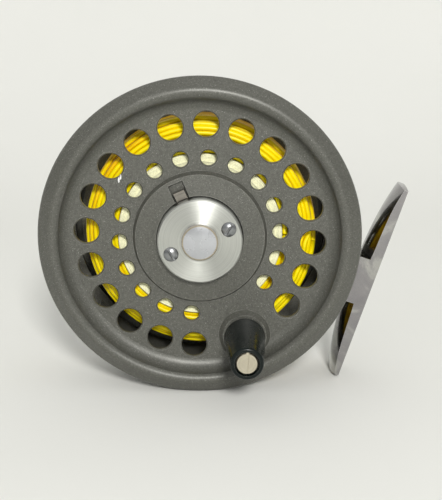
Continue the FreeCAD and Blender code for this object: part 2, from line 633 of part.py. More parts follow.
def foot_section(body, station, edge, crown):
    """Section across the foot: flat seat, straight sides and an arched back."""
    near = "foot_middle - foot_half_width"
    far = "foot_middle + foot_half_width"
    sketch = new_sketch(body, "XY_Plane", station)
    draw_outline(sketch, [("seat_distance", near), ("seat_distance", far), (f"seat_distance - {edge}", far),
                          (f"seat_distance - {edge} - {crown}", "foot_middle", "bend"),
                          (f"seat_distance - {edge}", near)])
    return sketch


def make_foot():
    """Centre block and two tapering arched ramps with rounded ends, on one flat seat."""
    body = new_piece("foot")
    raised(body, lambda sketch: draw_turned_box(
        sketch, "bridge_outer", "seat_distance", "foot_block_half", "0"),
        "foot_middle + foot_half_width", "2 * foot_half_width")
    sections = [foot_section(body, "foot_block_half - 0.5", "root_edge", "root_crown"),
                foot_section(body, "middle_station", "middle_edge", "middle_crown"),
                foot_section(body, "far_station", "far_edge", "far_crown"),
                foot_section(body, "foot_half_length", "tip_edge", "tip_crown")]
    ramp = body.newObject("PartDesign::AdditiveLoft", "foot_ramp")
    ramp.Profile = sections[0]
    ramp.Sections = sections[1:]
    mirror = body.newObject("PartDesign::Mirrored", "foot_mirror")
    mirror.Originals = [ramp]
    mirror.MirrorPlane = (origin_part(body, "XY_Plane"), [""])
    body.Tip = mirror
    for side in ("", "-"):
        round_foot_end(body, side)
    for along in foot_screw_places():
        lathed_across(body, foot_screw_outline(), along, cut=True)
    place(body, turn="seat_angle")


def round_foot_end(body, side):
    """Cut one end of the foot to a shallow arc, seen square to the seat."""
    before = volume(body)
    sketch = new_sketch(body, "YZ_Plane")
    near = "foot_middle - foot_half_width - 1"
    far = "foot_middle + foot_half_width + 1"
    shoulder = f"{side}(foot_half_length - foot_corner)"
    beyond = f"{side}(foot_half_length + 1)"
    draw_outline(sketch, [(near, shoulder), ("foot_middle", f"{side}foot_half_length", "bend"),
                          (far, shoulder), (far, beyond), (near, beyond)])
    cut = body.newObject("PartDesign::Pocket", "foot_end")
    cut.Profile = sketch
    cut.Type = "ThroughAll"
    cut.Midplane = True
    changed(body, before, True)


def make_spindle():
    """Shaft with a latch neck in front, a shoulder against the plate and a threaded tail."""
    body = new_piece("spindle")
    boss_back = "plate_front + plate_thickness + back_boss"
    tail = f"{boss_back} + washer_thickness + nut_height + 0.4"
    shoulder = "plate_front - shoulder_thickness"
    turned(body, [("0", "spindle_front"), ("spindle_radius - 0.5", "spindle_front"),
                  ("spindle_radius", "spindle_front + 0.5"), ("spindle_radius", "neck_front"),
                  ("neck_radius", "neck_front"), ("neck_radius", "neck_back"),
                  ("spindle_radius", "neck_back"), ("spindle_radius", shoulder),
                  ("shoulder_radius", shoulder), ("shoulder_radius", "plate_front"),
                  ("spindle_radius", "plate_front"), ("spindle_radius", f"{tail} - 0.4"),
                  ("spindle_radius - 0.4", tail), ("0", tail)])


def make_spindle_washer():
    body = new_piece("spindle_washer")
    front = "plate_front + plate_thickness + back_boss"
    back = f"{front} + washer_thickness"
    turned(body, [("spindle_radius", front), ("washer_radius", front), ("washer_radius", back),
                  ("spindle_radius", back)])


def make_spindle_nut():
    body = new_piece("spindle_nut")
    front = "plate_front + plate_thickness + back_boss + washer_thickness"
    corner = "nut_flats / 2 / cos(30)"
    raised(body, lambda sketch: draw_outline(sketch, [at_angle(corner, 60 * side) for side in range(6)]),
           f"{front} + nut_height", "nut_height")
    drilled(body, "0", "0", "spindle_radius", front, f"{front} + nut_height")


def make_pawl_pins():
    body = new_piece("pawl_pins")
    for angle in ("pawl_angle", "pawl_angle + pawl_spread"):
        across, up = at_angle("pawl_ring", angle)
        turned(body, [("0", "pin_head_front"), ("pin_head", "pin_head_front"),
                      ("pin_head", "pin_head_front + 0.3"), ("pin_radius", "pin_head_front + 0.3"),
                      ("pin_radius", "plate_front + plate_thickness"),
                      ("0", "plate_front + plate_thickness")], across, up)


def make_pawl(name, angle):
    """Click pawl: a round eye and a point that sits between two teeth."""
    body = new_piece(name)
    raised(body, lambda sketch: draw_outline(sketch, [
        ("-pawl_tip", "-pawl_tip_half"), ("-pawl_round * 0.6", "-pawl_root_half"),
        ("pawl_round", "0", "bend"), ("-pawl_round * 0.6", "pawl_root_half"),
        ("-pawl_tip", "pawl_tip_half")]), "pawl_back", "pawl_back - pawl_front")
    drilled(body, "0", "0", "pawl_bore", "pawl_front", "pawl_back")
    across, up = at_angle("pawl_ring", angle)
    place(body, across, "0", up, angle)


def make_drag_spring():
    """Curved leaf spring behind the pawls, with an eye at each end."""
    body = new_piece("drag_spring")
    height = "spring_back - spring_front"
    outer = "spring_radius + spring_half"
    inner = "spring_radius - spring_half"
    start = "drag_angle - spring_spread"
    finish = "drag_angle + spring_spread"
    raised(body, lambda sketch: draw_outline(sketch, [
        at_angle(outer, start), at_angle(outer, "drag_angle") + ("bend",), at_angle(outer, finish),
        at_angle(inner, finish), at_angle(inner, "drag_angle") + ("bend",), at_angle(inner, start)]),
        "spring_back", height)
    for angle in (start, finish):
        across, up = at_angle("spring_radius", angle)
        raised(body, lambda sketch: draw_circle(sketch, across, up, "eye_radius"), "spring_back", height)
        drilled(body, across, up, "spring_screw", "spring_front", "spring_back")


def make_spring_screws():
    body = new_piece("spring_screws")
    for angle in ("drag_angle - spring_spread", "drag_angle + spring_spread"):
        across, up = at_angle("spring_radius", angle)
        turned(body, [("0", "spring_screw_front"), ("spring_screw_head", "spring_screw_front"),
                      ("spring_screw_head", "spring_front"), ("spring_screw", "spring_front"),
                      ("spring_screw", "spring_screw_end"), ("0", "spring_screw_end")], across, up)


# Drag knob, its cam and the screw that joins them

def place_at_drag(body):
    across, up = at_angle("drag_ring", "drag_angle")
    place(body, across, "0", up, "drag_angle")


def make_drag_knob():
    """Knurled knob behind the plate, with its shaft through the plate."""
    body = new_piece("drag_knob")
    turned(body, [("cam_screw", "cam_back"), ("drag_shaft", "cam_back"), ("drag_shaft", "drag_knob_front"),
                  ("drag_knob", "drag_knob_front"), ("drag_knob", "drag_knob_back - 0.5"),
                  ("drag_knob - 0.5", "drag_knob_back"), ("0", "drag_knob_back"), ("0", "cam_screw_end"),
                  ("cam_screw", "cam_screw_end")])
    notch = raised(body, lambda sketch: draw_outline(sketch, [
        ("drag_knob - knurl_depth", "0"), ("drag_knob + 0.2", "-0.5"), ("drag_knob + 0.2", "0.5")]),
        "drag_knob_back + 0.5", "drag_knob_back - drag_knob_front + 1", cut=True)
    patterned(body, [notch], "knurl_step", "knurl_count")
    place_at_drag(body)


def make_drag_cam():
    """Eccentric disc inside the plate that presses the leaf spring when its lobe faces the spindle."""
    body = new_piece("drag_cam")
    turned(body, [("0", "spring_front"), ("cam_radius", "spring_front"), ("cam_radius", "cam_back"),
                  ("0", "cam_back")], "-cam_offset")
    drilled(body, "0", "0", "cam_screw", "spring_front", "cam_back")
    place_at_drag(body)


def make_cam_screw():
    body = new_piece("cam_screw")
    turned(body, [("0", "spring_screw_front"), ("cam_screw_head", "spring_screw_front"),
                  ("cam_screw_head", "spring_front"), ("cam_screw", "spring_front"),
                  ("cam_screw", "cam_screw_end"), ("0", "cam_screw_end")])
    place_at_drag(body)


# Whole reel

MAKERS = (make_spool, make_spool_bushing, make_ratchet_gear, make_gear_screws, make_fly_line, make_backing,
          make_cap, make_cap_screws, make_badge, make_handle_post, make_handle_washer, make_handle_knob,
          make_handle_screw, make_latch_plate, make_latch_spring, make_front_ring, make_back_plate,
          make_pillars, make_foot_bridge, make_lower_bar, make_foot_screws, make_foot, make_spindle,
          make_spindle_washer, make_spindle_nut, make_pawl_pins, make_drag_spring, make_spring_screws,
          make_drag_knob, make_drag_cam, make_cam_screw)


def check_and_export():
    """Stop on any failed object or bad shape, then write one STEP file for each piece."""
    doc.recompute()
    for item in doc.Objects:
        if "Invalid" in item.State or "Error" in item.State:
            raise RuntimeError(f"{item.Name}: {item.State}")
    for piece in pieces:
        if piece.Shape.isNull() or not piece.Shape.isValid() or not piece.Shape.Solids:
            raise RuntimeError(f"{piece.Label}: bad shape")
    os.makedirs("parts", exist_ok=True)
    for piece in pieces:
        piece.Shape.exportStep(f"parts/{piece.Label}.step")


for maker in MAKERS:
    maker()
make_pawl("pawl_right", "pawl_angle")
make_pawl("pawl_left", "pawl_angle + pawl_spread")
for piece in pieces:
    if piece.Placement.isIdentity():
        place(piece)
check_and_export()
print(len(pieces), "pieces written")
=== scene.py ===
import json
import math
import random

import bpy
from mathutils import Euler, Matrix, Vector


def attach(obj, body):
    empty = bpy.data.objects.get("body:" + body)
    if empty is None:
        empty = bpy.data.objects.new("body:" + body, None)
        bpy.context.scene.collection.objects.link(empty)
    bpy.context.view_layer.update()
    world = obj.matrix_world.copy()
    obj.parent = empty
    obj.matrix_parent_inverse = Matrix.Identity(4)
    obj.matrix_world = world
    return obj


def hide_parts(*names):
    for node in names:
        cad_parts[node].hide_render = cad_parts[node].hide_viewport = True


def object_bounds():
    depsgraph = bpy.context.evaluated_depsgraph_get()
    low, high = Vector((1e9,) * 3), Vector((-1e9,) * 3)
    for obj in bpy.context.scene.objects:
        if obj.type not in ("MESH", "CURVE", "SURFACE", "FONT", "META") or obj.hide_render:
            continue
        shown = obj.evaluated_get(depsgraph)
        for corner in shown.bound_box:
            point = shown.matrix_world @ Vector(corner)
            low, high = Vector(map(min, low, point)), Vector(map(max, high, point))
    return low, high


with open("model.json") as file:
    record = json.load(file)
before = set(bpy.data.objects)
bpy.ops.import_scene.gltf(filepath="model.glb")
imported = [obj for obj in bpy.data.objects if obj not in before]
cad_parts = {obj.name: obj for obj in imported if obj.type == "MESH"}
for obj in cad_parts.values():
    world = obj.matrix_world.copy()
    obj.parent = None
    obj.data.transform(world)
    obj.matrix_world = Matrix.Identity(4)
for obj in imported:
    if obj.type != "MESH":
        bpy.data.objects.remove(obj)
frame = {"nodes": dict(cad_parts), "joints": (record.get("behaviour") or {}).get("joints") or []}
CAD_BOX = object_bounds()

MM = 0.001
JOINTS = {joint["name"]: joint for joint in frame["joints"]}
HUB = Vector(JOINTS["spool_spin"]["pos_m"])
HANDLE = Vector(JOINTS["handle_spin"]["pos_m"])
DRAG = Vector(JOINTS["drag_turn"]["pos_m"])
FLOOR = CAD_BOX[0][2]


# Camera: the reel's face is seen from a little above

CAMERA_TARGET = Vector((5.92, 0.0, -3.79)) * MM  # from the hub
CAMERA_DISTANCE = 343.9 * MM
CAMERA_AZIMUTH = math.radians(-0.5)
CAMERA_ELEVATION = math.radians(14.63)
CAMERA_LENS_PER_HEIGHT = 2.4326
SENSOR_HEIGHT = 24.0


def add_object(name, data):
    """A new object in the scene."""
    added = bpy.data.objects.new(name, data)
    bpy.context.scene.collection.objects.link(added)
    return added


def make_camera():
    data = bpy.data.cameras.new("camera")
    data.sensor_fit = "VERTICAL"
    data.sensor_height = SENSOR_HEIGHT
    data.lens = SENSOR_HEIGHT * CAMERA_LENS_PER_HEIGHT
    data.clip_start = 10 * MM
    camera = add_object("camera", data)
    camera.rotation_euler = Euler((math.pi / 2 - CAMERA_ELEVATION, 0.0, CAMERA_AZIMUTH))
    back = Vector((0.0, 0.0, CAMERA_DISTANCE))
    back.rotate(camera.rotation_euler)
    camera.location = HUB + CAMERA_TARGET + back
    bpy.context.scene.camera = camera


# Node helpers

def add(tree, kind, inputs=None, **settings):
    """A shader node with its settings and inputs; an input is a number or another node's socket."""
    node = tree.nodes.new("ShaderNode" + kind)
    for name, setting in settings.items():
        setattr(node, name, setting)
    for name, source in (inputs or {}).items():
        if isinstance(source, bpy.types.NodeSocket):
            tree.links.new(source, node.inputs[name])
        else:
            node.inputs[name].default_value = source
    return node


def new_material(name, **constants):
    """A material with a Principled shader; constants are its plain inputs, with _ for a space."""
    material = bpy.data.materials.new(name)
    material.use_nodes = True
    tree = material.node_tree
    shader = tree.nodes["Principled BSDF"]
    for key, constant in constants.items():
        shader.inputs[key.replace("_", " ")].default_value = constant
    return material, tree, shader


def place_from(tree, centre=(0, 0, 0)):
    """The surface point in the object's own frame, from a centre."""
    coordinates = add(tree, "TexCoord").outputs["Object"]
    return add(tree, "VectorMath", {0: coordinates, 1: tuple(centre)}, operation="SUBTRACT").outputs[0]


def noise(tree, where, scale, detail=2.0, roughness=0.5, distortion=0.0):
    """Soft noise between 0 and 1; scale is in features per metre."""
    return add(tree, "TexNoise", {"Vector": where, "Scale": scale, "Detail": detail, "Roughness": roughness,
                                  "Distortion": distortion}).outputs["Fac"]


def ramp(tree, factor, *stops):
    """Colour or grey by a factor: stops are (position, colour)."""
    node = add(tree, "ValToRGB", {"Fac": factor})
    elements = node.color_ramp.elements
    while len(elements) < len(stops):
        elements.new(0.5)
    for element, (position, colour) in zip(elements, stops):
        element.position = position
        element.color = (colour,) * 3 + (1,) if isinstance(colour, (int, float)) else tuple(colour) + (1,)
    return node.outputs["Color"]


def mix(tree, factor, low, high):
    """Colour between low and high; each input is a number, a colour or a socket."""
    node = add(tree, "Mix", data_type="RGBA")
    for socket, source in ((node.inputs[0], factor), (node.inputs[6], low), (node.inputs[7], high)):
        if isinstance(source, bpy.types.NodeSocket):
            tree.links.new(source, socket)
        else:
            socket.default_value = source if isinstance(source, (int, float)) else tuple(source) + (1,)
    return node.outputs[2]


def maths(tree, operation, first, second=0.0):
    return add(tree, "Math", {0: first, 1: second}, operation=operation).outputs[0]


def bump(tree, shader, height, strength, distance):
    """Fine relief on the shader, on top of the mesh's own shape."""
    node = add(tree, "Bump", {"Height": height, "Strength": strength, "Distance": distance})
    tree.links.new(node.outputs[0], shader.inputs["Normal"])


def edge_mask(tree, reach):
    """White where the surface bends within reach, from the rounded normal against the true one."""
    rounded = add(tree, "Bevel", {"Radius": reach}, samples=4).outputs[0]
    true = add(tree, "NewGeometry").outputs["Normal"]
    along = add(tree, "VectorMath", {0: rounded, 1: true}, operation="DOT_PRODUCT").outputs["Value"]
    return maths(tree, "SUBTRACT", 1.0, along)


def hollow_shade_mask(tree, reach, depth):
    """How shut in the surface is within reach, as a mask for painted shade: 0 in the open, up to depth in
    slots and corners.
    """
    open_sky = add(tree, "AmbientOcclusion", {"Distance": reach}, samples=6).outputs["AO"]
    return ramp(tree, open_sky, (0.25, depth), (0.85, 0.0))


def across_axis(tree, centre):
    """The surface point as seen from the line through centre along Y."""
    flat = add(tree, "VectorMath", {0: place_from(tree, centre), 1: (1, 0, 1)}, operation="MULTIPLY")
    return flat.outputs[0]


def axis_distance(tree, centre):
    """Distance from the line through centre along Y."""
    return add(tree, "VectorMath", {0: across_axis(tree, centre)}, operation="LENGTH").outputs["Value"]


def outward_tangent(tree, centre):
    """Direction away from the line through centre along Y, in the world: turned marks spread light so."""
    world = add(tree, "VectorTransform", {"Vector": across_axis(tree, centre)}, vector_type="VECTOR",
                convert_from="OBJECT", convert_to="WORLD")
    return add(tree, "VectorMath", {0: world.outputs[0]}, operation="NORMALIZE").outputs[0]


# Materials: colours are linear, reaches and radii in metres unless a name or comment says mm

PAINT_DARK = (0.066, 0.066, 0.056)
PAINT_LIGHT = (0.125, 0.125, 0.108)
FLAKE = (0.42, 0.42, 0.39)
# Lighter paint on bends: wear, and partly a painted highlight
RUBBED_PAINT_AND_HIGHLIGHT = (0.24, 0.24, 0.215)
# Near black painted shade for slots and corners
PAINTED_HOLLOW_SHADE = (0.02, 0.02, 0.016)
CHIP = (0.75, 0.75, 0.73)
CHIP_RING = 27.9  # mm from the hub
CHIP_ANGLE = 143.0  # degrees from +X towards +Z
CHIP_REACH = 1.25 * MM
STEEL = (0.46, 0.45, 0.43)
BRONZE = (0.55, 0.36, 0.15)
STAIN = (0.2, 0.17, 0.13)
TURNED_MARKS = 2600.0  # per metre of radius
SEAT_ANGLE = math.radians(-18.55)
BADGE_RADIUS = 5.3 * MM


def chip_mask(tree, chip):
    """White inside a small bent chip: the ragged union of two short strokes."""
    strokes = []
    for turn, shift in ((-0.45, (0.25, 0, 0.55)), (0.75, (-0.25, 0, -0.35))):
        spot = add(tree, "Mapping", {"Vector": place_from(tree, chip + Vector(shift) * MM),
                                     "Rotation": (0, turn, 0), "Scale": (3.4, 1.0, 1.0)}).outputs[0]
        strokes.append(add(tree, "VectorMath", {0: spot}, operation="LENGTH").outputs["Value"])
    nearest = maths(tree, "MINIMUM", strokes[0], strokes[1])
    ragged = maths(tree, "MULTIPLY", noise(tree, place_from(tree), 1700), 0.9 * MM)
    return maths(tree, "LESS_THAN", maths(tree, "ADD", nearest, ragged), CHIP_REACH)


def textured_paint(name, dark, light, chip=None):
    """Warm grey paint with a fine grain, small bright flakes, lighter bends from wear and partly painted
    highlight, painted shade in hollows and, where asked, one chip.
    """
    material, tree, shader = new_material(name, Metallic=0.2, Specular_IOR_Level=0.6)
    where = place_from(tree)
    grain = noise(tree, where, 1900, detail=4, roughness=0.65)
    cloud = noise(tree, where, 55, detail=3)
    flakes = ramp(tree, noise(tree, where, 4300, detail=1), (0.66, 0.0), (0.74, 1.0))
    tone = ramp(tree, grain, (0.3, dark), (0.7, light))
    tone = mix(tree, maths(tree, "MULTIPLY", cloud, 0.35), tone, [part * 0.72 for part in dark])
    tone = mix(tree, maths(tree, "MULTIPLY", flakes, 0.55), tone, FLAKE)
    # Bends lighten: partly paint wear, partly a painted highlight.
    worn_and_highlit = maths(tree, "MULTIPLY", edge_mask(tree, 0.32 * MM), 9.0)
    uneven = ramp(tree, noise(tree, where, 420, detail=3), (0.4, 0.1), (0.62, 1.0))
    tone = mix(tree, maths(tree, "MULTIPLY", worn_and_highlit, uneven), tone, RUBBED_PAINT_AND_HIGHLIGHT)
    # Painted shade: the paint darkens to near black in slots and corners.
    tone = mix(tree, hollow_shade_mask(tree, 1.0 * MM, 0.6), tone, PAINTED_HOLLOW_SHADE)
    if chip is not None:
        tone = mix(tree, chip_mask(tree, chip), tone, CHIP)
    tree.links.new(tone, shader.inputs["Base Color"])
    tree.links.new(ramp(tree, cloud, (0.3, 0.36), (0.7, 0.48)), shader.inputs["Roughness"])
    bump(tree, shader, grain, 0.4, 0.06 * MM)
    return material


def turned_metal(name, tint, rough, centre, anisotropy=0.75):
    """Bare metal with fine marks round its axis, which draw highlights out into rays."""
    material, tree, shader = new_material(name, Metallic=1.0, Anisotropic=anisotropy)
    radius = axis_distance(tree, centre)
    marks = add(tree, "TexNoise", {"W": maths(tree, "MULTIPLY", radius, TURNED_MARKS), "Scale": 1.0,
                                   "Detail": 4.0, "Roughness": 0.7}, noise_dimensions="1D").outputs["Fac"]
    cloud = noise(tree, place_from(tree), 130, detail=4)
    tone = mix(tree, ramp(tree, marks, (0.35, 0.0), (0.65, 1.0)), [part * 0.86 for part in tint], tint)
    tree.links.new(tone, shader.inputs["Base Color"])
    tree.links.new(ramp(tree, cloud, (0.3, rough * 0.8), (0.7, rough * 1.25)), shader.inputs["Roughness"])
    tree.links.new(outward_tangent(tree, centre), shader.inputs["Tangent"])
    bump(tree, shader, marks, 0.05, 0.02 * MM)
    return material


def plain_metal(name, tint, rough):
    """Small steel or bronze part: cloudy tone, fine grain, lighter bends from wear and partly painted
    highlight, stain, painted shade in slots.
    """
    material, tree, shader = new_material(name, Metallic=1.0)
    where = place_from(tree)
    cloud = noise(tree, where, 420, detail=5, roughness=0.6)
    fine = noise(tree, where, 3500, detail=2)
    spots = ramp(tree, noise(tree, where, 900, detail=4), (0.52, 0.0), (0.7, 1.0))
    tone = mix(tree, cloud, [part * 0.8 for part in tint], tint)
    tone = mix(tree, maths(tree, "MULTIPLY", spots, 0.25), tone, STAIN)
    # Bends lighten: partly wear, partly a painted highlight.
    rubbed_and_highlit = maths(tree, "MULTIPLY", edge_mask(tree, 0.12 * MM), 1.6)
    tone = mix(tree, rubbed_and_highlit, tone, [min(1.0, part * 1.7) for part in tint])
    # Painted shade: near black in slots and corners.
    tone = mix(tree, hollow_shade_mask(tree, 0.8 * MM, 0.95), tone, (0.015, 0.012, 0.009))
    tree.links.new(tone, shader.inputs["Base Color"])
    tree.links.new(ramp(tree, cloud, (0.3, rough * 0.75), (0.75, rough * 1.3)), shader.inputs["Roughness"])
    bump(tree, shader, fine, 0.06, 0.02 * MM)
    return material


def polished_foot():
    """Polished plating with faint drawn lines along the foot, smears and fine speckle."""
    material, tree, shader = new_material("foot_plating", Metallic=1.0)
    where = place_from(tree)
    turned = add(tree, "Mapping", {"Vector": where, "Rotation": (0, SEAT_ANGLE, 0),
                                   "Scale": (2600, 2600, 130)}).outputs[0]
    lines = add(tree, "TexNoise", {"Vector": turned, "Scale": 1.0, "Detail": 3.0}).outputs["Fac"]
    smear = noise(tree, where, 75, detail=5, roughness=0.6, distortion=0.8)
    fine = noise(tree, where, 900, detail=4, roughness=0.7)
    dull = ramp(tree, smear, (0.40, 0.0), (0.47, 0.7), (0.62, 1.0))
    tone = mix(tree, dull, (0.46, 0.455, 0.425), (0.27, 0.255, 0.265))
    tone = mix(tree, maths(tree, "MULTIPLY", fine, 0.4), tone, (0.22, 0.22, 0.24))
    # Bends turn near white: partly wear, partly a painted highlight.
    rubbed_and_highlit = maths(tree, "MULTIPLY", edge_mask(tree, 0.2 * MM), 3.0)
    tree.links.new(mix(tree, rubbed_and_highlit, tone, (0.9, 0.9, 0.88)), shader.inputs["Base Color"])
    tree.links.new(ramp(tree, smear, (0.3, 0.10), (0.72, 0.24)), shader.inputs["Roughness"])
    bump(tree, shader, lines, 0.10, 0.015 * MM)
    return material


def badge_face():
    """Silvery printed face under clear lacquer, plain, with a narrow darker border."""
    material, tree, shader = new_material("badge_face", Metallic=0.4, Coat_Weight=0.4, Coat_Roughness=0.06)
    radius = axis_distance(tree, HUB)
    share = maths(tree, "MULTIPLY", radius, 1 / BADGE_RADIUS)
    border = ramp(tree, share, (0.86, 0.0), (0.9, 1.0), (0.97, 0.4))
    cloud = noise(tree, place_from(tree), 260, detail=3)
    face = mix(tree, cloud, (0.36, 0.37, 0.385), (0.48, 0.49, 0.51))
    tree.links.new(mix(tree, border, face, (0.30, 0.25, 0.15)), shader.inputs["Base Color"])
    tree.links.new(ramp(tree, cloud, (0.3, 0.2), (0.7, 0.34)), shader.inputs["Roughness"])
    bump(tree, shader, cloud, 0.05, 0.05 * MM)
    return material


def handle_plastic():
    """Black moulded plastic, glossy, with lighter bends from wear and partly painted highlight, and a faint
    mould texture.
    """
    material, tree, shader = new_material("handle_black", Specular_IOR_Level=0.22)
    where = place_from(tree)
    cloud = noise(tree, where, 170, detail=5, roughness=0.6)
    scuff = noise(tree, where, 1500, detail=4, roughness=0.7)
    tone = mix(tree, cloud, (0.003, 0.005, 0.005), (0.007, 0.011, 0.010))
    # Bends lighten to grey: partly wear, partly a painted highlight.
    edge_wear_and_highlight = maths(tree, "MULTIPLY", edge_mask(tree, 0.25 * MM), 1.6)
    tree.links.new(mix(tree, edge_wear_and_highlight, tone, (0.12, 0.125, 0.12)), shader.inputs["Base Color"])
    tree.links.new(ramp(tree, cloud, (0.3, 0.2), (0.7, 0.34)), shader.inputs["Roughness"])
    bump(tree, shader, scuff, 0.08, 0.03 * MM)
    return material


def line_coating():
    """Smooth yellow fly line: brown-orange dirt in patches along it, and between layers dirt with painted
    shade.
    """
    material, tree, shader = new_material("line_yellow", Subsurface_Weight=0.12, Subsurface_Scale=0.6 * MM,
                                          Specular_IOR_Level=0.3)
    shader.inputs["Subsurface Radius"].default_value = (1.0, 0.6, 0.1)
    where = place_from(tree, HUB)
    clean_and_unshaded = add(tree, "Attribute", attribute_name="tone").outputs["Fac"]
    speck = noise(tree, where, 900, detail=4)
    clean = mix(tree, speck, (0.98, 0.78, 0.0), (1.0, 0.87, 0.004))
    # Low tone gives dirt in patches, and dirt with painted shade between layers.
    grime_and_shade = ramp(tree, clean_and_unshaded, (0.0, (0.36, 0.11, 0.0)), (0.4, (0.85, 0.45, 0.0)),
                 (0.62, (1.0, 0.79, 0.0)))
    tree.links.new(mix(tree, 0.8, clean, grime_and_shade), shader.inputs["Base Color"])
    tree.links.new(ramp(tree, speck, (0.3, 0.26), (0.7, 0.42)), shader.inputs["Roughness"])
    bump(tree, shader, speck, 0.06, 0.03 * MM)
    return material


def backing_braid():
    """Pale braided backing: fine plaited texture and fuzz."""
    material, tree, shader = new_material("backing_pale", Sheen_Weight=0.3, Roughness=0.8)
    where = place_from(tree, HUB)
    plait = add(tree, "TexVoronoi", {"Vector": where, "Scale": 2300.0}).outputs["Distance"]
    cloud = noise(tree, where, 300, detail=4)
    tone = mix(tree, cloud, (0.88, 0.87, 0.56), (0.97, 0.96, 0.68))
    tone = mix(tree, ramp(tree, plait, (0.4, 0.0), (0.9, 0.4)), tone, (0.62, 0.60, 0.34))
    tree.links.new(tone, shader.inputs["Base Color"])
    bump(tree, shader, plait, 0.5, 0.08 * MM)
    return material


def around(ring, angle):
    """The place about the hub at a radius in mm and an angle in degrees from +X towards +Z."""
    return HUB + Vector((math.cos(math.radians(angle)), 0, math.sin(math.radians(angle)))) * ring * MM


def dress_cad_nodes():
    """Give the listed CAD nodes their materials."""
    spool_paint = textured_paint("spool_paint", PAINT_DARK, PAINT_LIGHT,
                                 chip=around(CHIP_RING, CHIP_ANGLE))
    frame_paint = textured_paint("frame_paint", PAINT_DARK, PAINT_LIGHT)
    steel = plain_metal("steel", STEEL, 0.3)
    bronze = plain_metal("bronze", BRONZE, 0.3)
    dress = {
        spool_paint: ["spool"],
        frame_paint: ["front_ring", "back_plate", "foot_bridge", "lower_bar"],
        turned_metal("cap_aluminium", (0.57, 0.58, 0.545), 0.36, HUB): ["cap"],
        badge_face(): ["badge"],
        plain_metal("screw_steel", (0.33, 0.34, 0.35), 0.34): ["cap_screws", "spindle_nut"],
        plain_metal("latch_steel", (0.30, 0.28, 0.25), 0.34): ["latch_plate"],
        steel: ["gear_screws", "handle_post", "foot_screws", "spindle", "spindle_washer", "pawl_pins",
                "spring_screws", "cam_screw", "pillars", "pawl_left", "pawl_right"],
        bronze: ["spool_bushing", "ratchet_gear", "drag_cam"],
        plain_metal("spring_blue", (0.16, 0.19, 0.27), 0.25): ["drag_spring", "latch_spring"],
        plain_metal("black_steel", (0.05, 0.05, 0.05), 0.4): ["handle_washer"],
        handle_plastic(): ["handle_knob"],
        turned_metal("screw_nickel", (0.62, 0.57, 0.45), 0.36, HANDLE, anisotropy=0.3): ["handle_screw"],
        polished_foot(): ["foot"],
        turned_metal("knob_aluminium", (0.55, 0.54, 0.51), 0.3, DRAG): ["drag_knob"],
    }
    for material, names in dress.items():
        for name in names:
            mesh = frame["nodes"][name].data
            mesh.materials.clear()
            mesh.materials.append(material)


# Wound line, in mm

LINE_DIAMETER = 1.42
LINE_PITCH = LINE_DIAMETER * 1.02
LINE_LAYER = 1.2  # from one layer to the next
LINE_BACKING_RADIUS = 23.4
LINE_FRONT = 2.95
LINE_BACK = 19.9
LINE_LAYERS = 8
LINE_CROWN = (0, 0, 0, 0, 0, 0, 1.3, 3.4)  # how far each layer stops short of both ends
LINE_SLACK = 0.7  # room for a layer to start late
LINE_LIFT = 0.16
LINE_LOPSIDED = 0.06
FEWEST_TURNS = 6
INNER_LAYERS = 3  # kept cleaner than the rest
TURN_POINTS = 72
TUBE_SIDES = 12
# darkening where layers meet: dirt and painted shade
GROOVE_GRIME_AND_SHADE = 0.55


def smooth_wave(rng, waves):
    """A smooth closed wobble of unit size over one turn."""
    parts = [(count, rng.uniform(0, 2 * math.pi), rng.uniform(0.4, 1.0)) for count in waves]
    total = sum(part[2] for part in parts)
    return lambda angle: sum(size * math.sin(count * angle + phase) for count, phase, size in parts) / total


def winding():
    """Centre points of the line, turn after turn from the backing outwards: (angle, radius, y, tone)."""
    rng = random.Random(7)
    room = LINE_BACK - LINE_FRONT - LINE_DIAMETER
    points = []
    lopsided = smooth_wave(rng, (1, 2))
    for layer in range(LINE_LAYERS):
        crown = LINE_CROWN[layer]
        width = room - 2 * crown
        turns = max(FEWEST_TURNS, int(width / LINE_PITCH))
        forward = layer % 2 == 0
        start = LINE_FRONT + LINE_DIAMETER / 2 + crown + rng.uniform(0.0, LINE_SLACK)
        for turn in range(turns):
            wobble = smooth_wave(rng, (1, 2, 3))
            lift = smooth_wave(rng, (2, 3, 5))
            stain = smooth_wave(rng, (1, 3, 6))
            base = rng.uniform(0.45, 1.15) + (0.4 if layer < INNER_LAYERS else 0)
            sway = rng.uniform(0.1, 0.42)
            for step in range(TURN_POINTS):
                angle = 2 * math.pi * step / TURN_POINTS
                part = (turn + step / TURN_POINTS) / turns
                part = part if forward else 1 - part
                depth = start + (width - LINE_SLACK) * part + sway * wobble(angle)
                radius = LINE_BACKING_RADIUS + LINE_DIAMETER / 2 + LINE_LAYER * layer
                radius += LINE_LIFT * lift(angle) + LINE_LOPSIDED * layer * lopsided(angle)
                points.append((angle + 2 * math.pi * turn, radius, depth, base + 0.4 * stain(angle)))
    return points


def band(near, far, count):
    """Faces between two closed rings of count points, given the index of each ring's first point."""
    return [(near + index, near + (index + 1) % count, far + (index + 1) % count, far + index)
            for index in range(count)]


def smooth_mesh(name, verts, faces):
    mesh = bpy.data.meshes.new(name)
    mesh.from_pydata(verts, [], faces)
    mesh.shade_smooth()
    return mesh


